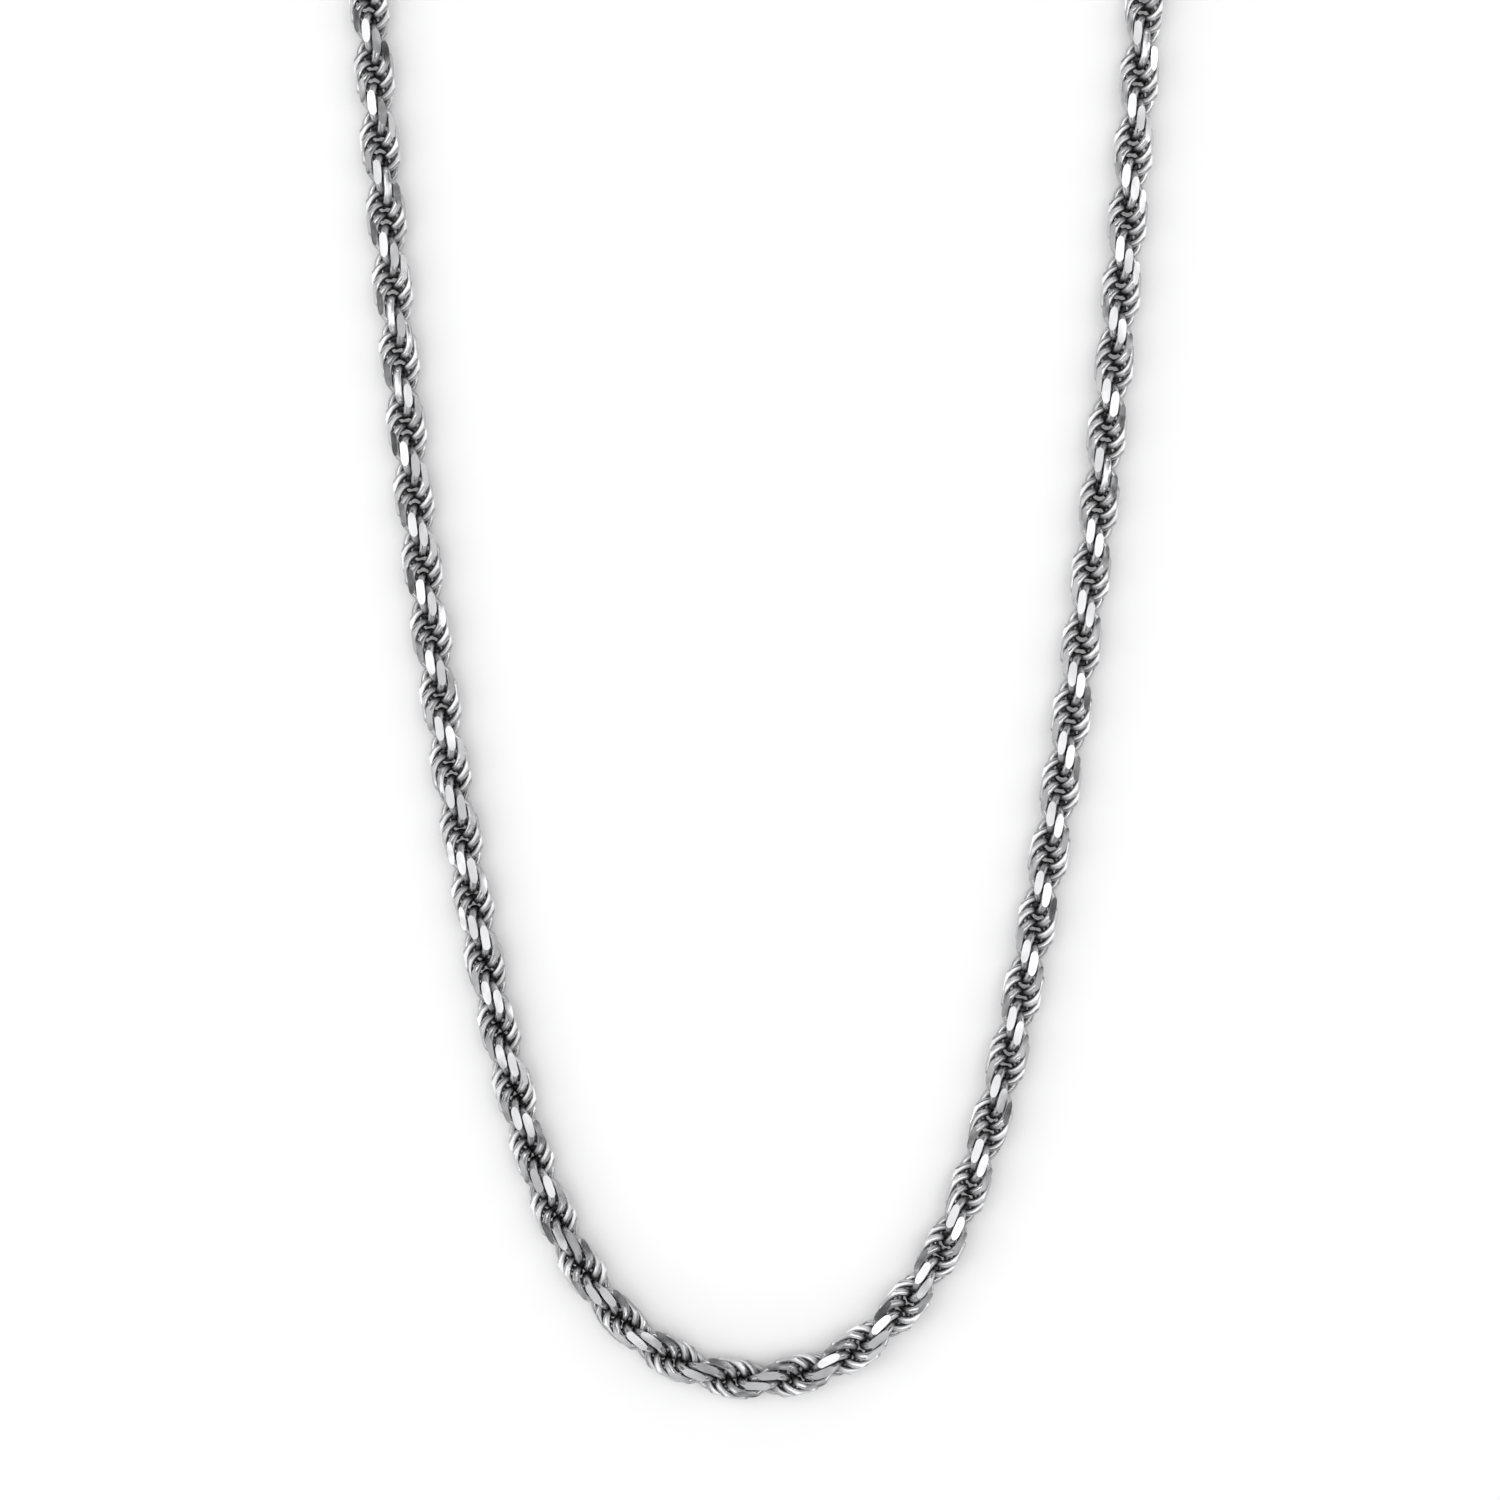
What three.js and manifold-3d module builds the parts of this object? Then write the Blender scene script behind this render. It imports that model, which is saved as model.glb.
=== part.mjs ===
// Diamond-cut rope chain necklace, unfastened and laid flat in a U.
// Millimetres, +Z up. The rope rests on z = 0 and the U opens towards +Y.
import * as THREE from "three";
import { mergeVertices } from "three/addons/utils/BufferGeometryUtils.js";
import Module from "manifold-3d";

const wasm = await Module();
wasm.setup();

// ---- the rope ----
const ROPE_WIDTH = 4.0;
const ROPE_WAIST = 2.4;
const LINKS_PER_HALF_TURN = 6;
const LINKS_PER_SEGMENT = 9;
const LEFT_SEGMENTS = 21;
const RIGHT_SEGMENTS = 22;
const SEGMENT_GAP = 0.3;
const HALF_TURN_LENGTH = 7.25;
const BEND_CROWDING = 1.0;
const CROWDING_CENTRE = -23;
const CROWDING_REACH = 57;
const TWIST_AT_CENTRE = 104.8;

// ---- the route: its heading in degrees against the distance from the U's bottom ----
const CORE_TURN = 69;
const CORE_REACH = 24.9;
const TAIL_TURN = 17.9;
const TAIL_REACH = 91;
const BOTTOM_X = 0;
const BOTTOM_Y = -118.2;
const ROPE_HEIGHT = ROPE_WIDTH / 2;

// ---- the end fittings ----
const CAP_RADIUS = 2.0;
const CAP_LENGTH = 4.2;
const EYE_CENTRE = 5.15;
const EYE_RADIUS = 1.15;
const EYE_WIRE = 0.4;
const JUMP_RING_RADIUS = 2.2;
const JUMP_RING_WIRE = 0.4;
const CATCH_RING_RADIUS = 2.6;
const CATCH_RING_WIRE = 0.45;

// ---- the lobster clasp ----
const CLASP_THICKNESS = 3.2;
const CLASP_BEVEL = 0.4;
const CLASP_TAIL_GAP = 0.8;
const SLOT_WIDTH = 1.7;
const TRIGGER_THICKNESS = 1.3;
const PIN_X = 0.9;
const PIN_Y = 2.9;
const PIN_RADIUS = 0.4;
const PIN_HOLE_RADIUS = 0.5;
const SPRING_RADIUS = 0.42;
const SPRING_WIRE = 0.11;
const SPRING_TURNS = 3;

const necklace = new THREE.Group();

// ---- materials ----

function ropeSilver() {
  return new THREE.MeshStandardMaterial({ color: 0xc9c9cb, metalness: 1, roughness: 0.18 });
}

function fittingSilver() {
  return new THREE.MeshStandardMaterial({ color: 0xd2d2d4, metalness: 1, roughness: 0.12 });
}

function springSteel() {
  return new THREE.MeshStandardMaterial({ color: 0x9a9ca0, metalness: 1, roughness: 0.3 });
}

// ---- solids ----

// One merged vertex per corner, and no triangle that has shrunk to a line.
function closedGeometry(geometry) {
  const bare = geometry.clone();
  bare.deleteAttribute("normal");
  bare.deleteAttribute("uv");
  const merged = mergeVertices(bare, 1e-4);
  const kept = [];
  for (let i = 0; i < merged.index.count; i += 3) {
    const corners = [0, 1, 2].map((k) => merged.index.getX(i + k));
    if (new Set(corners).size === 3) kept.push(...corners);
  }
  merged.setIndex(kept);
  return merged;
}

function toSolid(geometry) {
  const closed = closedGeometry(geometry);
  const vertProperties = new Float32Array(closed.attributes.position.array);
  const triVerts = new Uint32Array(closed.index.array);
  return new wasm.Manifold(new wasm.Mesh({ numProp: 3, vertProperties, triVerts }));
}

function toGeometry(solid) {
  const { vertProperties, triVerts } = solid.getMesh();
  const geometry = new THREE.BufferGeometry();
  geometry.setAttribute("position", new THREE.BufferAttribute(vertProperties, 3));
  geometry.setIndex(new THREE.BufferAttribute(triVerts, 1));
  geometry.computeVertexNormals();
  return geometry;
}

function addMesh(group, name, geometry, material) {
  const mesh = new THREE.Mesh(geometry, material);
  mesh.name = name;
  group.add(mesh);
  return mesh;
}

// ---- the route ----

function headingAt(along) {
  const x = along / CORE_REACH;
  const core = CORE_TURN * Math.tanh(1.128 * x + 0.103 * x ** 3);
  const tail = TAIL_TURN * Math.tanh(along / TAIL_REACH);
  return THREE.MathUtils.degToRad(core + tail);
}

function pointAt(along) {
  const steps = 600;
  const step = along / steps;
  const point = new THREE.Vector3(BOTTOM_X, BOTTOM_Y, ROPE_HEIGHT);
  for (let i = 0; i < steps; i += 1) {
    const heading = headingAt((i + 0.5) * step);
    point.x += Math.cos(heading) * step;
    point.y += Math.sin(heading) * step;
  }
  return point;
}

// How many links lie between the U's bottom and a distance along the rope.
// The links sit closer together where the rope bends.
function linksTo(along) {
  const crowd = (s) => BEND_CROWDING * Math.tanh((s - CROWDING_CENTRE) / CROWDING_REACH);
  return LINKS_PER_HALF_TURN * (along / HALF_TURN_LENGTH + crowd(along) - crowd(0));
}

function distanceAt(link) {
  const pitch = HALF_TURN_LENGTH / LINKS_PER_HALF_TURN;
  let along = link * pitch;
  for (let i = 0; i < 40; i += 1) {
    along += (link - linksTo(along)) * pitch * 0.8;
  }
  return along;
}

// ---- rope segments ----

// Two lobes across, each step turned a little further, with rounded ends that leave room to bend.
function segmentGeometry(firstLink, length) {
  const ends = [[0, 0.22], [0.35, 0.72], [1.0, 1.0]];
  const middleSteps = 6;
  const stations = ends.map(([at, swell]) => [at, swell]);
  for (let i = 1; i < middleSteps; i += 1) {
    stations.push([1 + (length - 2) * (i / middleSteps), 1]);
  }
  ends.reverse().forEach(([at, swell]) => stations.push([length - at, swell]));

  const outline = new THREE.Shape();
  const sides = 8;
  for (let i = 0; i < sides; i += 1) {
    const angle = (i / sides) * 2 * Math.PI;
    const x = (ROPE_WIDTH / 2) * Math.cos(angle);
    const y = (ROPE_WAIST / 2) * Math.sin(angle);
    if (i === 0) outline.moveTo(x, y);
    else outline.lineTo(x, y);
  }
  const steps = stations.length - 1;
  const bar = new THREE.ExtrudeGeometry(outline, { depth: steps, steps, bevelEnabled: false });
  const position = bar.attributes.position;
  for (let i = 0; i < position.count; i += 1) {
    const [at, swell] = stations[Math.round(position.getZ(i))];
    const turn = twistAt(firstLink + LINKS_PER_SEGMENT * (at / length));
    const x = position.getX(i) * swell;
    const y = position.getY(i) * swell;
    position.setXYZ(
      i,
      x * Math.cos(turn) - y * Math.sin(turn),
      x * Math.sin(turn) + y * Math.cos(turn),
      at,
    );
  }
  return closedGeometry(bar);
}

// The angle of the links' wide direction about the rope, left-handed along it.
function twistAt(link) {
  return THREE.MathUtils.degToRad(TWIST_AT_CENTRE - (180 / LINKS_PER_HALF_TURN) * link);
}

function addSegment(number, place) {
  const firstLink = (place - 0.5) * LINKS_PER_SEGMENT;
  const from = pointAt(distanceAt(firstLink));
  const to = pointAt(distanceAt(firstLink + LINKS_PER_SEGMENT));
  const along = to.clone().sub(from);
  const length = along.length() - SEGMENT_GAP;
  along.normalize();
  const up = new THREE.Vector3(0, 0, 1);
  const across = new THREE.Vector3().crossVectors(up, along);
  const name = `rope_${String(number).padStart(2, "0")}`;
  const mesh = addMesh(necklace, name, segmentGeometry(firstLink, length), ropeSilver());
  mesh.setRotationFromMatrix(new THREE.Matrix4().makeBasis(across, up, along));
  mesh.position.copy(from).addScaledVector(along, SEGMENT_GAP / 2);
}

// ---- fittings, each built at the rope's end with +Y away from the rope ----

function endFrame(link) {
  const along = distanceAt(link);
  const near = pointAt(along - Math.sign(link) * 5);
  const end = pointAt(along);
  const outward = end.clone().sub(near);
  const frame = new THREE.Group();
  frame.position.set(end.x, end.y, 0);
  frame.rotation.z = Math.atan2(outward.y, outward.x) - Math.PI / 2;
  necklace.add(frame);
  return frame;
}

function flatRing(radius, wire, sides) {
  return new THREE.TorusGeometry(radius, wire, 8, sides);
}

function eyeSolid(centreY) {
  const eye = new THREE.TorusGeometry(EYE_RADIUS, EYE_WIRE, 8, 16);
  eye.rotateY(Math.PI / 2);
  eye.translate(0, centreY, ROPE_HEIGHT);
  return toSolid(eye);
}

// A solid tip of the rope's own width, with a grooved collar and an eye.
function endCapGeometry() {
  const profile = [
    [0, 0.15],
    [1.7, 0.15],
    [CAP_RADIUS, 0.45],
    [CAP_RADIUS, 1.2],
    [1.8, 1.4],
    [1.8, 1.7],
    [CAP_RADIUS, 1.9],
    [CAP_RADIUS, 2.6],
    [1.55, 3.5],
    [0.8, CAP_LENGTH - 0.05],
    [0, CAP_LENGTH],
  ].map(([radius, y]) => new THREE.Vector2(radius, y));
  const barrel = new THREE.LatheGeometry(profile, 16);
  barrel.translate(0, 0, ROPE_HEIGHT);
  return toGeometry(toSolid(barrel).add(eyeSolid(EYE_CENTRE)));
}

function addEndCap(frame, name) {
  addMesh(frame, name, endCapGeometry(), fittingSilver());
}

function addRing(frame, name, radius, wire, sides) {
  const ring = addMesh(frame, name, flatRing(radius, wire, sides), fittingSilver());
  ring.position.set(0, EYE_CENTRE + radius, ROPE_HEIGHT);
}

// The hook runs from the tail up the left side and over the top to its tip on the right.
function claspOutline() {
  const outline = new THREE.Shape();
  outline.moveTo(1.2, 0);
  outline.lineTo(1.8, 1.6);
  outline.lineTo(2.1, 3.6);
  outline.lineTo(1.5, 5.0);
  outline.lineTo(0.2, 5.2);
  outline.lineTo(-1.2, 5.4);
  outline.splineThru([
    new THREE.Vector2(-1.9, 6.6),
    new THREE.Vector2(-2.0, 8.4),
    new THREE.Vector2(-1.7, 10.0),
    new THREE.Vector2(-0.9, 11.2),
    new THREE.Vector2(0.0, 11.6),
    new THREE.Vector2(0.9, 11.4),
    new THREE.Vector2(1.7, 10.6),
  ]);
  outline.lineTo(2.2, 9.7);
  outline.lineTo(2.9, 9.8);
  outline.splineThru([
    new THREE.Vector2(3.0, 10.2),
    new THREE.Vector2(2.8, 11.4),
    new THREE.Vector2(1.8, 12.7),
    new THREE.Vector2(0.4, 13.3),
    new THREE.Vector2(-1.1, 13.0),
    new THREE.Vector2(-2.5, 11.6),
    new THREE.Vector2(-3.3, 9.4),
    new THREE.Vector2(-3.4, 7.0),
    new THREE.Vector2(-2.9, 4.2),
    new THREE.Vector2(-2.0, 1.8),
  ]);
  outline.lineTo(-1.2, 0);
  return outline;
}

function claspBodyGeometry() {
  const plate = new THREE.ExtrudeGeometry(claspOutline(), {
    depth: CLASP_THICKNESS - 2 * CLASP_BEVEL,
    curveSegments: 1,
    bevelEnabled: true,
    bevelThickness: CLASP_BEVEL,
    bevelSize: CLASP_BEVEL,
    bevelOffset: -CLASP_BEVEL,
    bevelSegments: 2,
  });
  plate.translate(0, 0, CLASP_BEVEL);
  const slot = new THREE.BoxGeometry(4.7, 4.9, SLOT_WIDTH);
  slot.translate(1.65, 3.75, CLASP_THICKNESS / 2);
  const hole = new THREE.CylinderGeometry(PIN_HOLE_RADIUS, PIN_HOLE_RADIUS, 5, 12);
  hole.rotateX(Math.PI / 2);
  hole.translate(PIN_X, PIN_Y, CLASP_THICKNESS / 2);
  const hooked = toSolid(plate).add(eyeSolid(-CLASP_TAIL_GAP));
  return toGeometry(hooked.subtract(toSolid(slot)).subtract(toSolid(hole)));
}

function triggerGeometry() {
  const outline = new THREE.Shape();
  const heel = THREE.MathUtils.degToRad(170);
  outline.absarc(PIN_X, PIN_Y, 0.95, heel, heel + Math.PI, false);
  outline.lineTo(2.7, 3.5);
  outline.lineTo(3.9, 4.4);
  outline.lineTo(4.1, 5.0);
  outline.lineTo(3.7, 5.6);
  outline.lineTo(3.2, 6.0);
  outline.lineTo(3.15, 7.4);
  outline.lineTo(2.95, 9.3);
  outline.lineTo(2.15, 9.35);
  outline.lineTo(2.15, 7.4);
  outline.lineTo(1.9, 6.0);
  outline.lineTo(1.0, 4.4);
  outline.lineTo(0.2, 3.7);
  const hole = new THREE.Path();
  hole.absarc(PIN_X, PIN_Y, PIN_HOLE_RADIUS, 0, 2 * Math.PI, true);
  outline.holes.push(hole);
  const lever = new THREE.ExtrudeGeometry(outline, {
    depth: TRIGGER_THICKNESS,
    curveSegments: 6,
    bevelEnabled: false,
  });
  lever.translate(0, 0, (CLASP_THICKNESS - TRIGGER_THICKNESS) / 2);
  return closedGeometry(lever);
}

class Coil extends THREE.Curve {
  getPoint(t, target = new THREE.Vector3()) {
    const angle = 2 * Math.PI * SPRING_TURNS * t;
    return target.set(
      -0.5 + 1.2 * t,
      4.55 + SPRING_RADIUS * Math.cos(angle),
      CLASP_THICKNESS / 2 + SPRING_RADIUS * Math.sin(angle),
    );
  }
}

function springGeometry() {
  const section = new THREE.Shape();
  section.absarc(0, 0, SPRING_WIRE, 0, 2 * Math.PI, false);
  return new THREE.ExtrudeGeometry(section, {
    curveSegments: 3,
    steps: 8 * SPRING_TURNS,
    extrudePath: new Coil(),
    bevelEnabled: false,
  });
}

function addClasp(frame) {
  const clasp = new THREE.Group();
  clasp.position.y = EYE_CENTRE + 2 * JUMP_RING_RADIUS + CLASP_TAIL_GAP;
  frame.add(clasp);
  addMesh(clasp, "clasp_body", claspBodyGeometry(), fittingSilver());
  addMesh(clasp, "clasp_trigger", triggerGeometry(), fittingSilver());
  const rivet = new THREE.CylinderGeometry(PIN_RADIUS, PIN_RADIUS, CLASP_THICKNESS - 0.2, 12);
  rivet.rotateX(Math.PI / 2);
  rivet.translate(PIN_X, PIN_Y, CLASP_THICKNESS / 2);
  addMesh(clasp, "clasp_pin", rivet, fittingSilver());
  addMesh(clasp, "clasp_spring", springGeometry(), springSteel());
}

// ---- assembly ----

for (let place = -LEFT_SEGMENTS; place <= RIGHT_SEGMENTS; place += 1) {
  addSegment(place + LEFT_SEGMENTS + 1, place);
}

const leftEnd = endFrame(-(LEFT_SEGMENTS + 0.5) * LINKS_PER_SEGMENT);
addEndCap(leftEnd, "end_cap_left");
addRing(leftEnd, "jump_ring", JUMP_RING_RADIUS, JUMP_RING_WIRE, 24);
addClasp(leftEnd);

const rightEnd = endFrame((RIGHT_SEGMENTS + 0.5) * LINKS_PER_SEGMENT);
addEndCap(rightEnd, "end_cap_right");
addRing(rightEnd, "catch_ring", CATCH_RING_RADIUS, CATCH_RING_WIRE, 28);

export default necklace;
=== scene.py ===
"""Rope chain necklace, laid open in a U on a pale floor.

Every link of the rope is drawn: one open wire ring, cut flat on its two outer sides, is modelled
once in a few slightly different cuts and copied along the rope with a steady left-handed turn.
The end caps, the two rings and the lobster clasp finish the necklace.
"""

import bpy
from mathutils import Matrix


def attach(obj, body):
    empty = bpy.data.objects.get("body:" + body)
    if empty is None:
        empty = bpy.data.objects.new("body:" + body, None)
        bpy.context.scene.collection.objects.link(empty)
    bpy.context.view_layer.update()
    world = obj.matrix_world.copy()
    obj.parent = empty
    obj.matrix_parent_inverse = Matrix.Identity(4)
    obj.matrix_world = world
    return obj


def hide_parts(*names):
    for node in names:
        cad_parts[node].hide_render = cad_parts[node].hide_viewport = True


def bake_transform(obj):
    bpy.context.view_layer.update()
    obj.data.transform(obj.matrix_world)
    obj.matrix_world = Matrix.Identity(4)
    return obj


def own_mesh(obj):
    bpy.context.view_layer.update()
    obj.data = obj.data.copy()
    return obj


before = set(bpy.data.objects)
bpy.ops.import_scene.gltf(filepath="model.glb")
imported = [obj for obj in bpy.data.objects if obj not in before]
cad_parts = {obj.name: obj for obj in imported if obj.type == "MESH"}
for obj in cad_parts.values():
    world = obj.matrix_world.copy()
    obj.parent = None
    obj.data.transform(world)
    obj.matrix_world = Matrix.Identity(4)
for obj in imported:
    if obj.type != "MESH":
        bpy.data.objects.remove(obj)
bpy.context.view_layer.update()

import math
import random

import bpy
from mathutils import Matrix, Vector

bl_info = {
    "name": "Rope Chain Necklace",
    "version": (1, 0, 0),
    "blender": (4, 5, 0),
    "location": "View3D > Sidebar > Necklace",
    "description": "Builds a rope chain necklace with its end caps, rings and lobster clasp",
    "category": "Add Mesh",
}

MM = 0.001

# The route of the rope, the same as in the CAD frame. Distances along the rope are in millimetres.
BOTTOM = Vector((0.0, -118.2, 2.0))
CORE_TURN = 69.0
CORE_REACH = 24.9
TAIL_TURN = 17.9
TAIL_REACH = 91.0
ROUTE_STEPS = 600

# How the links follow one another along the rope.
LINKS_PER_HALF_TURN = 6
LINKS_PER_SEGMENT = 9
LEFT_SEGMENTS = 21
RIGHT_SEGMENTS = 22
HALF_TURN_LENGTH = 7.25
CROWDING_CENTRE = -23.0
CROWDING_REACH = 57.0
TWIST_AT_CENTRE = 104.8
LINK_PHASE = 0.127

# One link. The base mesh is a little larger than the wire, because subdividing draws it in.
LINK_SIDES = 14
WIRE_SIDES = 6
SIDES_SHRINK = 0.975
WIRE_SHRINK = 0.87
CUT_KINDS = 14
CUT_TILT = 4.5
CUT_DEPTH_SPREAD = 0.03
LAST_LINK_CLEARANCE = 1.0
TAPER_LENGTH = 4.5
TAPER_WIDTH = 0.74

# The silver's tint at grazing angles is darkened, a painted shade that draws dark outlines. Between
# the two distances from the rope's middle line, in millimetres, a wire's colour runs from the
# painted shade silver to the open silver: the shade between the links is painted into the colour.
PAINTED_RIM_SHADE = (0.30, 0.30, 0.30, 1.0)
PAINTED_SHADE_FULL_REACH = 0.6
PAINTED_SHADE_END_REACH = 1.4

# The fittings, in millimetres in a frame at the rope's end with Y pointing outward.
EYE_CENTRE = 5.15
EYE_RADIUS = 1.15
EYE_WIRE = 0.4
JUMP_RING_RADIUS = 2.2
JUMP_RING_WIRE = 0.4
CATCH_RING_RADIUS = 2.6
CATCH_RING_WIRE = 0.45
CLASP_TAIL_GAP = 0.8
CLASP_MIDDLE = 1.6
PIN = Vector((0.9, 2.9, CLASP_MIDDLE))
PIN_RADIUS = 0.4
PIN_LENGTH = 3.0
CAP_PROFILE = [
    (1.62, 0.55),
    (1.70, 0.20),
    (1.86, 0.15),
    (1.97, 0.28),
    (1.99, 0.50),
    (1.99, 1.18),
    (1.93, 1.30),
    (1.81, 1.40),
    (1.81, 1.68),
    (1.93, 1.80),
    (1.99, 1.94),
    (1.98, 2.50),
    (1.86, 2.86),
    (1.60, 3.30),
    (1.22, 3.72),
    (0.80, 4.02),
    (0.35, 4.16),
]

# The surround's brightness. It is cut by panels of light and dark.
HORIZON = (0.05, 0.05, 0.05)
HALFWAY_UP = (0.50, 0.50, 0.50)
ZENITH = (1.20, 1.20, 1.20)
PANEL_SCALE = 2.4
PANEL_DARK = 0.35
PANEL_LIGHT = 1.25


# ---- settings a user would change ----


class RopeSettings(bpy.types.PropertyGroup):
    link_width: bpy.props.FloatProperty(
        name="Rope width",
        description="Width across the flats cut on the links",
        default=3.96 * MM,
        unit="LENGTH",
    )
    link_radius: bpy.props.FloatProperty(
        name="Link radius",
        description="From a link's middle to the middle of its wire",
        default=1.88 * MM,
        unit="LENGTH",
    )
    wire_radius: bpy.props.FloatProperty(
        name="Wire radius",
        description="Half the thickness of a link's wire",
        default=0.43 * MM,
        unit="LENGTH",
    )
    bright: bpy.props.FloatVectorProperty(
        name="Bright silver",
        description="Colour of the brightest links",
        default=(0.70, 0.70, 0.71),
        subtype="COLOR",
    )
    dull: bpy.props.FloatVectorProperty(
        name="Dull silver",
        description="Colour of the links that are a little toned",
        default=(0.44, 0.44, 0.45),
        subtype="COLOR",
    )
    # Painted shade: the colour the wires are darkened to between the links, where shade falls.
    painted_shade: bpy.props.FloatVectorProperty(
        name="Painted shade silver",
        description="Colour of the silver deep between the links, painted darker as shade",
        default=(0.17, 0.17, 0.172),
        subtype="COLOR",
    )


class FittingSettings(bpy.types.PropertyGroup):
    silver: bpy.props.FloatVectorProperty(
        name="Cast silver",
        description="Colour of the caps, rings and clasp",
        default=(0.56, 0.56, 0.57),
        subtype="COLOR",
    )
    toned: bpy.props.FloatVectorProperty(
        name="Toned silver",
        description="Colour of the fittings where handling has dulled them",
        default=(0.38, 0.38, 0.39),
        subtype="COLOR",
    )
    edge_round: bpy.props.FloatProperty(
        name="Edge rounding",
        description="How far the clasp's edges are rounded",
        default=0.10 * MM,
        unit="LENGTH",
    )


class StageSettings(bpy.types.PropertyGroup):
    floor: bpy.props.FloatVectorProperty(
        name="Floor",
        description="Colour of the floor",
        default=(0.93, 0.93, 0.93),
        subtype="COLOR",
    )
    key_power: bpy.props.FloatProperty(
        name="Key light",
        description="Power of the large light",
        default=3.1,
        subtype="POWER",
    )
    camera_height: bpy.props.FloatProperty(
        name="Camera height",
        description="Height of the camera above the rope",
        default=0.42208,
        unit="LENGTH",
    )


# ---- the rope's route ----


def heading(along):
    """The rope's direction at a distance from the U's bottom, in radians."""
    x = along / CORE_REACH
    core = CORE_TURN * math.tanh(1.128 * x + 0.103 * x**3)
    return math.radians(core + TAIL_TURN * math.tanh(along / TAIL_REACH))


def route_point(along):
    """A point on the rope's middle line, in millimetres."""
    step = along / ROUTE_STEPS
    x = sum(math.cos(heading((i + 0.5) * step)) for i in range(ROUTE_STEPS))
    y = sum(math.sin(heading((i + 0.5) * step)) for i in range(ROUTE_STEPS))
    return BOTTOM + Vector((x * step, y * step, 0.0))


def crowding(along):
    return math.tanh((along - CROWDING_CENTRE) / CROWDING_REACH)


def links_to(along):
    """How many links lie between the U's bottom and a distance along the rope."""
    extra = crowding(along) - crowding(0.0)
    return LINKS_PER_HALF_TURN * (along / HALF_TURN_LENGTH + extra)


def distance_at(link):
    """The distance along the rope of a link number."""
    pitch = HALF_TURN_LENGTH / LINKS_PER_HALF_TURN
    along = link * pitch
    for _ in range(40):
        along += (link - links_to(along)) * pitch * 0.8
    return along


def link_matrix(link, squeeze):
    """Where a link lies: its Z runs along the rope and its X is its wide direction."""
    along = distance_at(link)
    turn = heading(along)
    along_rope = Vector((math.cos(turn), math.sin(turn), 0.0))
    across = Vector((-math.sin(turn), math.cos(turn), 0.0))
    up = Vector((0.0, 0.0, 1.0))
    twist = math.radians(TWIST_AT_CENTRE - 180 / LINKS_PER_HALF_TURN * link)
    wide = across * math.cos(twist) + up * math.sin(twist)
    side = along_rope.cross(wide)
    matrix = Matrix((wide * squeeze, side, along_rope)).transposed().to_4x4()
    matrix.translation = route_point(along) * MM
    return matrix


def end_matrix(link, towards):
    """The frame at one end of the rope: Y points outward along the rope and Z points up."""
    along = distance_at(link)
    end = route_point(along)
    outward = end - route_point(along - towards * 5.0)
    outward.normalize()
    aside = outward.cross(Vector((0.0, 0.0, 1.0)))
    matrix = Matrix((aside, outward, Vector((0.0, 0.0, 1.0)))).transposed().to_4x4()
    matrix.translation = Vector((end.x, end.y, 0.0)) * MM
    return matrix


def left_end():
    return end_matrix(-(LEFT_SEGMENTS + 0.5) * LINKS_PER_SEGMENT, -1)


def right_end():
    return end_matrix((RIGHT_SEGMENTS + 0.5) * LINKS_PER_SEGMENT, 1)


# ---- modelling helpers ----


def deselect_all():
    if bpy.context.object and bpy.context.object.mode != "OBJECT":
        bpy.ops.object.mode_set(mode="OBJECT")
    bpy.ops.object.select_all(action="DESELECT")


def activate(obj):
    deselect_all()
    obj.select_set(True)
    bpy.context.view_layer.objects.active = obj


def named(name):
    """Names the object just added and its mesh."""
    obj = bpy.context.object
    obj.name = name
    obj.data.name = name
    return obj


def edit(obj):
    activate(obj)
    bpy.ops.object.mode_set(mode="EDIT")


def leave():
    bpy.ops.object.mode_set(mode="OBJECT")


def select_faces(obj, wanted):
    """Selects the faces whose centre and normal pass the test, and nothing else."""
    bpy.ops.mesh.select_all(action="DESELECT")
    bpy.ops.mesh.select_mode(type="FACE")
    leave()
    for face in obj.data.polygons:
        face.select = bool(wanted(face.center, face.normal))
    bpy.ops.object.mode_set(mode="EDIT")


def close_outward():
    """Merges doubles and turns every face outward."""
    bpy.ops.mesh.select_all(action="SELECT")
    bpy.ops.mesh.remove_doubles(threshold=1e-6)
    bpy.ops.mesh.normals_make_consistent(inside=False)


def apply_place(obj, matrix=None):
    """Moves the object's place into its mesh and leaves the object at the origin."""
    if matrix is not None:
        obj.matrix_world = matrix @ obj.matrix_world
    activate(obj)
    bpy.ops.object.transform_apply(location=True, rotation=True, scale=True)


def join(objects, name):
    deselect_all()
    for obj in objects:
        obj.select_set(True)
    bpy.context.view_layer.objects.active = objects[0]
    if len(objects) > 1:
        bpy.ops.object.join()
    return named(name)


def smooth(obj, angle):
    activate(obj)
    bpy.ops.object.shade_smooth_by_angle(angle=math.radians(angle))


def live_subdivision(obj, levels):
    modifier = obj.modifiers.new("Subdivision", "SUBSURF")
    modifier.levels = levels
    modifier.render_levels = levels


def live_bevel(obj, width):
    modifier = obj.modifiers.new("Bevel", "BEVEL")
    modifier.width = width
    modifier.segments = 3
    modifier.limit_method = "ANGLE"
    modifier.angle_limit = math.radians(30)
    modifier.harden_normals = False


# ---- materials ----


def new_material(name):
    material = bpy.data.materials.new(name)
    material.use_nodes = True
    shader = material.node_tree.nodes["Principled BSDF"]
    return material, material.node_tree, shader


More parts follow.
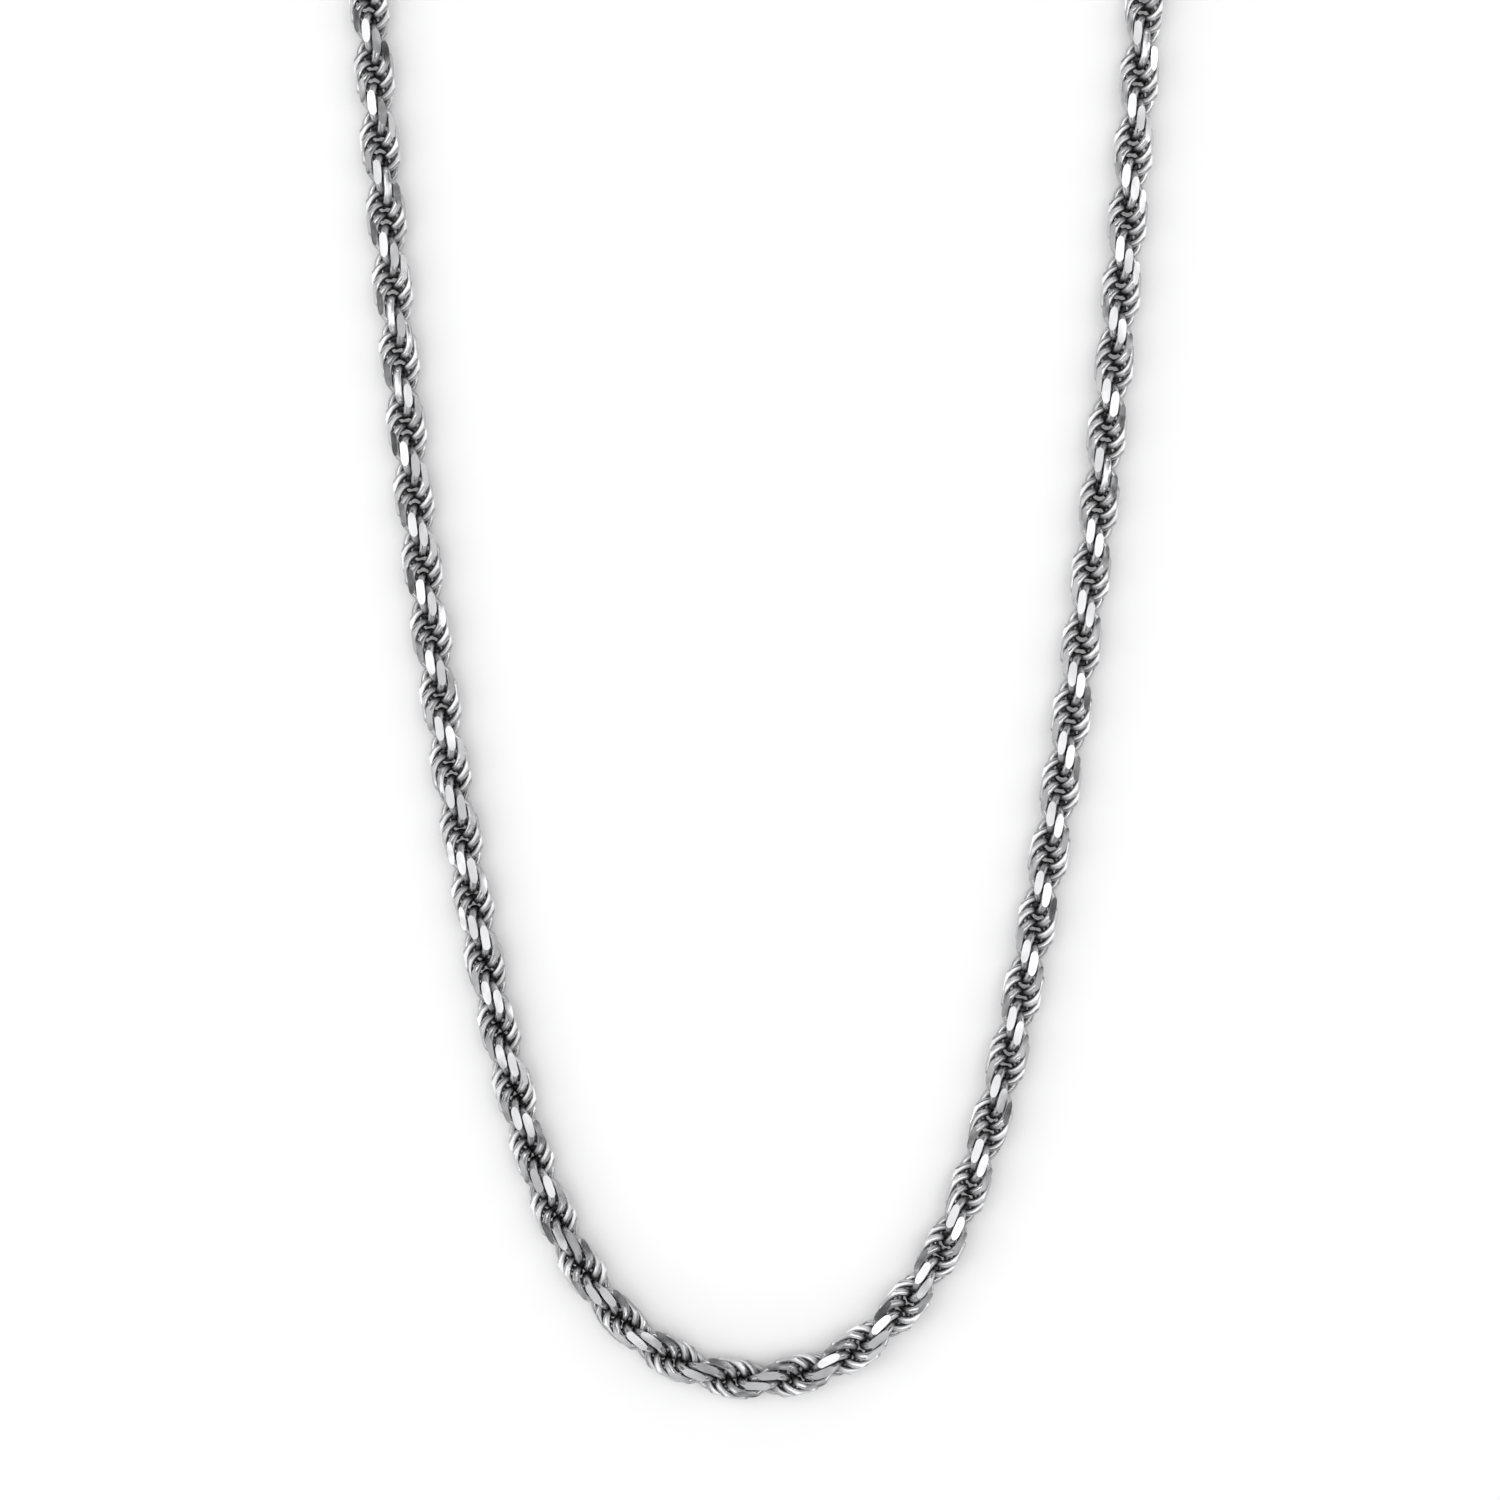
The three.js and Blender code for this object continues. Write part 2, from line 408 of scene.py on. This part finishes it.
def noise(tree, scale, detail, stretch=(1.0, 1.0, 1.0)):
    """A noise pattern laid on the piece's own coordinates."""
    place = tree.nodes.new("ShaderNodeTexCoord")
    mapping = tree.nodes.new("ShaderNodeMapping")
    mapping.inputs["Scale"].default_value = stretch
    pattern = tree.nodes.new("ShaderNodeTexNoise")
    pattern.inputs["Scale"].default_value = scale
    pattern.inputs["Detail"].default_value = detail
    tree.links.new(place.outputs["Object"], mapping.inputs["Vector"])
    tree.links.new(mapping.outputs["Vector"], pattern.inputs["Vector"])
    return pattern.outputs["Fac"]


def spread(tree, value, low, high, start=0.3, stop=0.7):
    """Stretches a pattern's values over a range."""
    ramp = tree.nodes.new("ShaderNodeMapRange")
    ramp.inputs["From Min"].default_value = start
    ramp.inputs["From Max"].default_value = stop
    ramp.inputs["To Min"].default_value = low
    ramp.inputs["To Max"].default_value = high
    tree.links.new(value, ramp.inputs["Value"])
    return ramp.outputs["Result"]


def two_tone(tree, amount, first, second):
    mix = tree.nodes.new("ShaderNodeMix")
    mix.data_type = "RGBA"
    mix.inputs["A"].default_value = (*first, 1.0)
    mix.inputs["B"].default_value = (*second, 1.0)
    tree.links.new(amount, mix.inputs["Factor"])
    return mix.outputs["Result"]


def bump(tree, shader, height, distance, strength):
    node = tree.nodes.new("ShaderNodeBump")
    node.inputs["Distance"].default_value = distance
    node.inputs["Strength"].default_value = strength
    tree.links.new(height, node.inputs["Height"])
    tree.links.new(node.outputs["Normal"], shader.inputs["Normal"])


def link_tone(tree):
    """Each link's own tone, from 0 for bright to 1 for dull."""
    tone = tree.nodes.new("ShaderNodeAttribute")
    tone.attribute_name = "link_tone"
    return tone.outputs["Fac"]


def with_painted_shade(tree, colour, painted_shade):
    """Paints shade into a colour: darkens it towards the middle of the rope, where the links shade
    one another.
    """
    reach = tree.nodes.new("ShaderNodeAttribute")
    reach.attribute_name = "painted_shade_reach"
    share = spread(tree, reach.outputs["Fac"], 1.0, 0.0, PAINTED_SHADE_FULL_REACH, PAINTED_SHADE_END_REACH)
    mix = tree.nodes.new("ShaderNodeMix")
    mix.data_type = "RGBA"
    mix.inputs["B"].default_value = (*painted_shade, 1.0)
    tree.links.new(share, mix.inputs["Factor"])
    tree.links.new(colour, mix.inputs["A"])
    return mix.outputs["Result"]


def wire_silver(settings):
    """Drawn silver wire: polished, with fine handling marks, a tone of its own on each link, and
    painted shade towards the rope's middle.
    """
    material, tree, shader = new_material("rope_wire_silver")
    tone = spread(tree, link_tone(tree), 0.15, 0.75, 0.0, 1.0)
    colour = two_tone(tree, tone, settings.bright, settings.dull)
    # Painted shade: the wire's colour darkens towards the rope's middle line.
    colour = with_painted_shade(tree, colour, settings.painted_shade)
    tree.links.new(colour, shader.inputs["Base Color"])
    rough = spread(tree, noise(tree, 900.0, 4.0), 0.20, 0.38)
    tree.links.new(rough, shader.inputs["Roughness"])
    bump(tree, shader, noise(tree, 2600.0, 3.0, (1.0, 1.0, 0.4)), 0.004 * MM, 0.5)
    shader.inputs["Metallic"].default_value = 1.0
    # Painted shade: a dark tint at grazing angles gives the wires dark outlines.
    shader.inputs["Specular Tint"].default_value = PAINTED_RIM_SHADE
    return material


def facet_silver(settings):
    """The flats cut with a diamond tool: mirror bright, with faint tool lines."""
    material, tree, shader = new_material("rope_cut_facet")
    tone = spread(tree, link_tone(tree), 0.35, 1.25, 0.0, 1.0)
    colour = two_tone(tree, tone, settings.bright, settings.dull)
    tree.links.new(colour, shader.inputs["Base Color"])
    rough = spread(tree, noise(tree, 700.0, 2.0), 0.12, 0.26)
    tree.links.new(rough, shader.inputs["Roughness"])
    bump(tree, shader, noise(tree, 1800.0, 2.0, (3.0, 0.6, 1.0)), 0.002 * MM, 0.4)
    shader.inputs["Metallic"].default_value = 1.0
    return material


def fitting_material(settings):
    """Cast and polished silver with soft wear and hairline scratches."""
    material, tree, shader = new_material("fitting_cast_silver")
    wear = spread(tree, noise(tree, 500.0, 5.0), 0.0, 0.7)
    colour = two_tone(tree, wear, settings.silver, settings.toned)
    tree.links.new(colour, shader.inputs["Base Color"])
    rough = spread(tree, noise(tree, 1300.0, 4.0), 0.12, 0.28)
    tree.links.new(rough, shader.inputs["Roughness"])
    bump(tree, shader, noise(tree, 1500.0, 4.0, (1.0, 5.0, 1.0)), 0.004 * MM, 0.4)
    shader.inputs["Metallic"].default_value = 1.0
    # Painted shade: a dark tint at grazing angles gives the fittings dark outlines.
    shader.inputs["Specular Tint"].default_value = PAINTED_RIM_SHADE
    return material


def spring_material():
    """Hardened spring wire, darker and brushed along its length."""
    material, tree, shader = new_material("spring_wire_steel")
    streaks = noise(tree, 3000.0, 3.0, (0.3, 1.0, 1.0))
    colour = two_tone(tree, spread(tree, streaks, 0.0, 1.0), (0.52, 0.52, 0.54), (0.36, 0.35, 0.35))
    tree.links.new(colour, shader.inputs["Base Color"])
    tree.links.new(spread(tree, streaks, 0.25, 0.42), shader.inputs["Roughness"])
    bump(tree, shader, streaks, 0.003 * MM, 0.4)
    shader.inputs["Metallic"].default_value = 1.0
    return material


def floor_material(settings):
    """Matt white card."""
    material, tree, shader = new_material("floor_white_card")
    grain = noise(tree, 60.0, 4.0)
    light = tuple(settings.floor)
    dim = tuple(0.985 * channel for channel in light)
    tree.links.new(two_tone(tree, grain, light, dim), shader.inputs["Base Color"])
    tree.links.new(spread(tree, grain, 0.85, 0.95), shader.inputs["Roughness"])
    bump(tree, shader, noise(tree, 1500.0, 2.0), 0.01 * MM, 0.2)
    shader.inputs["Specular IOR Level"].default_value = 0.15
    return material


# ---- the rope ----


def open_ring(settings):
    """A wire ring in the XZ plane with a gap at the top, through which a later link passes."""
    bpy.ops.mesh.primitive_torus_add(
        major_segments=LINK_SIDES,
        minor_segments=WIRE_SIDES,
        major_radius=settings.link_radius / SIDES_SHRINK,
        minor_radius=settings.wire_radius / WIRE_SHRINK,
        rotation=(math.pi / 2, 0.0, 0.0),
    )
    ring = named("link_master")
    apply_place(ring)
    quarter = 2 * math.pi / LINK_SIDES * 0.5 * settings.link_radius
    edit(ring)
    select_faces(ring, lambda centre, normal: centre.z > 0 and abs(centre.x) < quarter)
    bpy.ops.mesh.delete(type="FACE")
    bpy.ops.mesh.select_all(action="SELECT")
    bpy.ops.mesh.fill_holes(sides=WIRE_SIDES)
    leave()
    edit(ring)
    select_faces(ring, lambda centre, normal: abs(centre.x) < quarter * 1.2 and abs(normal.x) > 0.9)
    bpy.ops.mesh.inset(thickness=0.3 * settings.wire_radius)
    close_outward()
    leave()
    return ring


def cut_flat(link, side, distance, tilt_along, tilt_across):
    """Cuts one flat on the outer side of a link and marks its sharp rim."""
    normal = Vector((side, side * tilt_across, tilt_along)).normalized()
    point = Vector((side * distance, 0.0, 0.0))
    edit(link)
    bpy.ops.mesh.select_all(action="SELECT")
    bpy.ops.mesh.bisect(plane_co=point, plane_no=normal, use_fill=True, clear_outer=True)
    select_faces(link, lambda centre, facing: facing.dot(normal) > 0.9995)
    bpy.ops.object.material_slot_add()
    link.active_material_index = 1
    bpy.ops.object.material_slot_assign()
    bpy.ops.mesh.region_to_loop()
    bpy.ops.mesh.mark_sharp()
    bpy.ops.transform.edge_crease(value=1.0)
    leave()


def cut_links(ring, settings, wire, facet):
    """The few cuts that the rope's links are copied from, each with slightly different flats."""
    spreading = random.Random(41)
    kinds = []
    for kind in range(CUT_KINDS):
        link = ring.copy()
        link.data = ring.data.copy()
        bpy.context.collection.objects.link(link)
        link.name = f"link_kind_{kind:02d}"
        link.data.materials.append(wire)
        link.data.materials.append(facet)
        for side in (1, -1):
            tilts = [math.radians(spreading.uniform(-CUT_TILT, CUT_TILT)) for _ in range(2)]
            slope = abs(tilts[0]) * 1.3 * MM + abs(tilts[1]) * 0.4 * MM
            depth = spreading.uniform(0.0, CUT_DEPTH_SPREAD) * MM + 0.6 * slope
            cut_flat(link, side, settings.link_width / 2 - depth, *tilts)
        link.data.polygons.foreach_set("use_smooth", [True] * len(link.data.polygons))
        kinds.append(link)
    return kinds


def place_link(kind, link, tone, squeeze):
    """A copy of one kind of link, set at its place along the rope."""
    obj = bpy.data.objects.new(f"link_{link:.0f}", kind.data.copy())
    bpy.context.collection.objects.link(obj)
    # Each corner's distance from the rope's middle line sets how much painted shade the wire gets.
    reaches = [math.hypot(corner.co.x, corner.co.y) / MM for corner in obj.data.vertices]
    attribute = obj.data.attributes.new("painted_shade_reach", "FLOAT", "POINT")
    attribute.data.foreach_set("value", reaches)
    attribute = obj.data.attributes.new("link_tone", "FLOAT", "POINT")
    attribute.data.foreach_set("value", [tone] * len(obj.data.vertices))
    obj.data.transform(link_matrix(link + LINK_PHASE, squeeze))
    return obj


def squeeze_near_end(link):
    """How much narrower a link is where the rope enters an end cap, or None past its last link."""
    first = distance_at(-(LEFT_SEGMENTS + 0.5) * LINKS_PER_SEGMENT)
    last = distance_at((RIGHT_SEGMENTS + 0.5) * LINKS_PER_SEGMENT)
    along = distance_at(link + LINK_PHASE)
    room = min(along - first, last - along)
    if room < LAST_LINK_CLEARANCE:
        return None
    share = min(1.0, (room - LAST_LINK_CLEARANCE) / TAPER_LENGTH)
    return TAPER_WIDTH + (1.0 - TAPER_WIDTH) * math.sqrt(share)


def rope_piece(kinds, first, last, name, choosing):
    """The links numbered from first up to last, joined into one piece of rope."""
    links = []
    for link in range(first, last):
        kind = choosing.choice(kinds)
        tone = choosing.random() ** 1.4
        squeeze = squeeze_near_end(link)
        if squeeze is not None:
            links.append(place_link(kind, link, tone, squeeze))
    piece = join(links, name)
    live_subdivision(piece, 1)
    return piece


def rope_body(place):
    return f"rope_{place + LEFT_SEGMENTS + 1:02d}"


def build_rope():
    """Draws the rope in pieces that run from the middle of one CAD segment to the next."""
    settings = bpy.context.scene.necklace_rope
    ring = open_ring(settings)
    kinds = cut_links(ring, settings, wire_silver(settings), facet_silver(settings))
    choosing = random.Random(7)
    half = LINKS_PER_SEGMENT // 2
    first = -LEFT_SEGMENTS * LINKS_PER_SEGMENT
    last = RIGHT_SEGMENTS * LINKS_PER_SEGMENT
    left = rope_piece(kinds, first - half, first, "rope_links_left_end", choosing)
    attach(left, rope_body(-LEFT_SEGMENTS))
    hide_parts(rope_body(-LEFT_SEGMENTS))
    for place in range(-LEFT_SEGMENTS, RIGHT_SEGMENTS):
        start = place * LINKS_PER_SEGMENT
        stop = start + LINKS_PER_SEGMENT
        name = f"rope_links_{place + LEFT_SEGMENTS + 1:02d}"
        piece = rope_piece(kinds, start, stop, name, choosing)
        ends = [route_point(distance_at(link)) * MM for link in (start, stop)]
        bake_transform(piece)
        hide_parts(rope_body(place + 1))
    right = rope_piece(kinds, last, last + half + 1, "rope_links_right_end", choosing)
    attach(right, rope_body(RIGHT_SEGMENTS))
    for spare in [ring, *kinds]:
        bpy.data.objects.remove(spare)


# ---- the fittings ----


def turned_shape(name, profile, sides):
    """A shape turned about Y: a filled circle extruded and scaled along a profile."""
    radius, start = profile[0]
    bpy.ops.mesh.primitive_circle_add(
        vertices=sides,
        radius=radius * MM,
        fill_type="NGON",
        location=(0.0, start * MM, 0.0),
        rotation=(-math.pi / 2, 0.0, 0.0),
    )
    obj = named(name)
    apply_place(obj)
    edit(obj)
    bpy.ops.mesh.select_all(action="SELECT")
    for radius_now, y in profile[1:]:
        bpy.ops.mesh.extrude_region_move(
            TRANSFORM_OT_translate={"value": (0.0, (y - start) * MM, 0.0)}
        )
        scale = radius_now / radius
        bpy.ops.transform.resize(
            value=(scale, 1.0, scale), center_override=(0.0, y * MM, 0.0)
        )
        radius, start = radius_now, y
    close_outward()
    leave()
    return obj


def upright_eye(name, centre_y):
    """A wire eye standing across the rope's end."""
    bpy.ops.mesh.primitive_torus_add(
        major_segments=28,
        minor_segments=12,
        major_radius=EYE_RADIUS * MM,
        minor_radius=EYE_WIRE * MM,
        location=(0.0, centre_y * MM, BOTTOM.z * MM),
        rotation=(0.0, math.pi / 2, 0.0),
    )
    eye = named(name)
    apply_place(eye)
    edit(eye)
    select_faces(eye, lambda centre, normal: centre.y < (centre_y - EYE_RADIUS * 0.6) * MM)
    bpy.ops.transform.resize(
        value=(1.25, 1.0, 1.0), center_override=(0.0, centre_y * MM, BOTTOM.z * MM)
    )
    leave()
    return eye


def end_cap(side, matrix, body, material):
    """A turned cup with a grooved collar and a soldered eye, at one end of the rope."""
    barrel = turned_shape("barrel", CAP_PROFILE, 40)
    apply_place(barrel, Matrix.Translation((0.0, 0.0, BOTTOM.z * MM)))
    cap = join([barrel, upright_eye("eye", EYE_CENTRE)], f"end_cap_{side}_look")
    apply_place(cap, matrix)
    smooth(cap, 40)
    cap.data.materials.append(material)
    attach(cap, body)
    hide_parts(f"end_cap_{side}")


def build_end_caps():
    material = fitting_material(bpy.context.scene.necklace_fittings)
    end_cap("left", left_end(), rope_body(-LEFT_SEGMENTS), material)
    end_cap("right", right_end(), rope_body(RIGHT_SEGMENTS), material)


def wire_ring(node, matrix, radius, wire, material):
    """A flat wire ring with a fine closed joint opposite the rope."""
    bpy.ops.mesh.primitive_torus_add(
        major_segments=48,
        minor_segments=14,
        major_radius=radius * MM,
        minor_radius=wire * MM,
        location=(0.0, (EYE_CENTRE + radius) * MM, BOTTOM.z * MM),
    )
    ring = named(f"{node}_look")
    apply_place(ring)
    edit(ring)
    for y in (-0.045, 0.045):
        bpy.ops.mesh.select_all(action="SELECT")
        bpy.ops.mesh.bisect(
            plane_co=(0.0, (EYE_CENTRE + radius + y) * MM, 0.0), plane_no=(0.0, 1.0, 0.0)
        )
    middle = (EYE_CENTRE + radius) * MM
    select_faces(
        ring, lambda centre, normal: centre.x > 0 and abs(centre.y - middle) < 0.04 * MM
    )
    bpy.ops.mesh.delete(type="FACE")
    bpy.ops.mesh.select_all(action="SELECT")
    bpy.ops.mesh.fill_holes(sides=0)
    close_outward()
    leave()
    apply_place(ring, matrix)
    smooth(ring, 40)
    ring.data.materials.append(material)
    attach(ring, node)
    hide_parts(node)


def build_rings():
    material = fitting_material(bpy.context.scene.necklace_fittings)
    wire_ring("jump_ring", left_end(), JUMP_RING_RADIUS, JUMP_RING_WIRE, material)
    wire_ring("catch_ring", right_end(), CATCH_RING_RADIUS, CATCH_RING_WIRE, material)


def clasp_matrix():
    tail = (EYE_CENTRE + 2 * JUMP_RING_RADIUS + CLASP_TAIL_GAP) * MM
    return left_end() @ Matrix.Translation((0.0, tail, 0.0))


def merged_copy(node, name):
    """A copy of a CAD solid with its seams merged."""
    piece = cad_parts[node].copy()
    piece.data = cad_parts[node].data.copy()
    for key in list(piece.keys()):
        del piece[key]
    piece.parent = None
    bpy.context.collection.objects.link(piece)
    activate(piece)
    named(name)
    piece.data.materials.clear()
    edit(piece)
    close_outward()
    leave()
    return piece


def rounded_copy(node, name, body, material, settings):
    """A merged copy of a CAD solid with its edges rounded."""
    piece = merged_copy(node, name)
    edit(piece)
    bpy.ops.mesh.select_all(action="SELECT")
    bpy.ops.mesh.dissolve_limited(angle_limit=math.radians(1.0))
    leave()
    live_bevel(piece, settings.edge_round)
    smooth(piece, 38)
    piece.data.materials.append(material)
    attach(piece, body)
    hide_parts(node)
    return piece


def rivet(material):
    """The clasp's pin, with both ends peened into low domes."""
    half = PIN_LENGTH / 2
    profile = [
        (0.12, -half),
        (0.34, -half + 0.05),
        (PIN_RADIUS, -half + 0.16),
        (PIN_RADIUS, half - 0.16),
        (0.34, half - 0.05),
        (0.12, half),
    ]
    pin = turned_shape("clasp_pin_look", profile, 24)
    turned = Matrix.Rotation(math.pi / 2, 4, "X")
    apply_place(pin, clasp_matrix() @ Matrix.Translation(PIN * MM) @ turned)
    smooth(pin, 40)
    pin.data.materials.append(material)
    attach(pin, "clasp")
    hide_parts("clasp_pin")


def coil_spring():
    """The coil behind the trigger."""
    spring = merged_copy("clasp_spring", "clasp_spring_look")
    smooth(spring, 50)
    spring.data.materials.append(spring_material())
    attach(spring, "clasp")
    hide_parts("clasp_spring")
    place = clasp_matrix()
    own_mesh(spring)


def build_clasp():
    settings = bpy.context.scene.necklace_fittings
    material = fitting_material(settings)
    rounded_copy("clasp_body", "clasp_body_look", "clasp", material, settings)
    rounded_copy("clasp_trigger", "clasp_trigger_look", "trigger", material, settings)
    rivet(material)
    coil_spring()


# ---- the stage ----


def softbox(name, place, target, size, power):
    light = bpy.data.lights.new(name, "AREA")
    light.shape = "RECTANGLE"
    light.size, light.size_y = size
    light.energy = power
    obj = bpy.data.objects.new(name, light)
    obj.location = place
    obj.rotation_euler = (Vector(target) - Vector(place)).to_track_quat("-Z", "Y").to_euler()
    obj.visible_camera = False
    bpy.context.collection.objects.link(obj)


def build_floor(settings):
    bpy.ops.mesh.primitive_plane_add(size=6.0, location=(0.0, 0.0, -0.00005))
    floor = named("floor")
    apply_place(floor)
    edit(floor)
    bpy.ops.mesh.select_all(action="SELECT")
    bpy.ops.mesh.subdivide(number_cuts=3)
    leave()
    floor.data.materials.append(floor_material(settings))


def build_world():
    """A pale surround of light and dark panels that darkens towards the horizon."""
    world = bpy.data.worlds.new("studio")
    world.use_nodes = True
    bpy.context.scene.world = world
    tree = world.node_tree
    place = tree.nodes.new("ShaderNodeTexCoord")
    parts = tree.nodes.new("ShaderNodeSeparateXYZ")
    ramp = tree.nodes.new("ShaderNodeValToRGB")
    ramp.color_ramp.elements[0].position = 0.0
    ramp.color_ramp.elements[0].color = (*HORIZON, 1.0)
    ramp.color_ramp.elements[1].position = 1.0
    ramp.color_ramp.elements[1].color = (*ZENITH, 1.0)
    middle = ramp.color_ramp.elements.new(0.5)
    middle.color = (*HALFWAY_UP, 1.0)
    panels = tree.nodes.new("ShaderNodeTexNoise")
    panels.inputs["Scale"].default_value = PANEL_SCALE
    panels.inputs["Detail"].default_value = 1.0
    strength = spread(tree, panels.outputs["Fac"], PANEL_DARK, PANEL_LIGHT, 0.38, 0.62)
    tree.links.new(place.outputs["Generated"], parts.inputs["Vector"])
    tree.links.new(place.outputs["Generated"], panels.inputs["Vector"])
    tree.links.new(parts.outputs["Z"], ramp.inputs["Fac"])
    tree.links.new(ramp.outputs["Color"], tree.nodes["Background"].inputs["Color"])
    tree.links.new(strength, tree.nodes["Background"].inputs["Strength"])


def build_lights(settings):
    aim = (0.0, -0.05, 0.0)
    key = settings.key_power
    softbox("key", (-0.62, 0.05, 0.72), aim, (0.78, 1.10), key)
    softbox("fill", (0.42, -0.10, 0.85), aim, (0.60, 1.00), key * 0.55)
    softbox("low_left", (-0.95, -0.30, 0.28), aim, (0.16, 0.80), key * 0.35)
    softbox("low_right", (0.95, 0.10, 0.30), aim, (0.16, 0.80), key * 0.45)
    softbox("back", (0.10, 0.95, 0.45), aim, (0.90, 0.18), key * 0.45)
    softbox("front", (-0.05, -1.00, 0.40), aim, (0.90, 0.18), key * 0.35)


def build_camera(settings):
    """Straight above the U, looking down."""
    camera = bpy.data.cameras.new("camera")
    camera.lens = 100.0
    camera.sensor_width = 36.0
    camera.dof.use_dof = False
    obj = bpy.data.objects.new("camera", camera)
    view_centre = Vector((-0.70, BOTTOM.y + 63.82, 0.0)) * MM
    obj.location = view_centre + Vector((0.0, 0.0, settings.camera_height + BOTTOM.z * MM))
    bpy.context.collection.objects.link(obj)
    bpy.context.scene.camera = obj


def build_stage():
    settings = bpy.context.scene.necklace_stage
    build_floor(settings)
    build_world()
    build_lights(settings)
    build_camera(settings)
    bpy.context.scene.view_settings.view_transform = "Standard"


# ---- operators, panel and registration ----


class NECKLACE_OT_rope(bpy.types.Operator):
    """Build the rope from its separate links"""

    bl_idname = "necklace.rope"
    bl_label = "Rope"

    def execute(self, context):
        build_rope()
        return {"FINISHED"}


class NECKLACE_OT_end_caps(bpy.types.Operator):
    """Build the two end caps with their eyes"""

    bl_idname = "necklace.end_caps"
    bl_label = "End caps"

    def execute(self, context):
        build_end_caps()
        return {"FINISHED"}


class NECKLACE_OT_rings(bpy.types.Operator):
    """Build the jump ring and the catch ring"""

    bl_idname = "necklace.rings"
    bl_label = "Rings"

    def execute(self, context):
        build_rings()
        return {"FINISHED"}


class NECKLACE_OT_clasp(bpy.types.Operator):
    """Build the lobster clasp with its trigger, pin and spring"""

    bl_idname = "necklace.clasp"
    bl_label = "Clasp"

    def execute(self, context):
        build_clasp()
        return {"FINISHED"}


class NECKLACE_OT_stage(bpy.types.Operator):
    """Build the floor, the lights and the camera"""

    bl_idname = "necklace.stage"
    bl_label = "Stage"

    def execute(self, context):
        build_stage()
        return {"FINISHED"}


class NECKLACE_PT_panel(bpy.types.Panel):
    """The necklace's parts and settings"""

    bl_idname = "NECKLACE_PT_panel"
    bl_label = "Rope Chain Necklace"
    bl_space_type = "VIEW_3D"
    bl_region_type = "UI"
    bl_category = "Necklace"

    def draw(self, context):
        for name in SETTINGS:
            settings = getattr(context.scene, name)
            box = self.layout.box()
            for key in settings.__annotations__:
                box.prop(settings, key)
        for operator in OPERATORS:
            self.layout.operator(operator.bl_idname)


OPERATORS = [
    NECKLACE_OT_rope,
    NECKLACE_OT_end_caps,
    NECKLACE_OT_rings,
    NECKLACE_OT_clasp,
    NECKLACE_OT_stage,
]
SETTINGS = {
    "necklace_rope": RopeSettings,
    "necklace_fittings": FittingSettings,
    "necklace_stage": StageSettings,
}


def register():
    for name, settings in SETTINGS.items():
        bpy.utils.register_class(settings)
        setattr(bpy.types.Scene, name, bpy.props.PointerProperty(type=settings))
    for cls in [*OPERATORS, NECKLACE_PT_panel]:
        bpy.utils.register_class(cls)


def unregister():
    for cls in [NECKLACE_PT_panel, *reversed(OPERATORS)]:
        bpy.utils.unregister_class(cls)
    for name, settings in SETTINGS.items():
        delattr(bpy.types.Scene, name)
        bpy.utils.unregister_class(settings)


def main():
    register()
    bpy.ops.necklace.rope()
    bpy.ops.necklace.end_caps()
    bpy.ops.necklace.rings()
    bpy.ops.necklace.clasp()
    bpy.ops.necklace.stage()


if __name__ == "__main__":
    main()
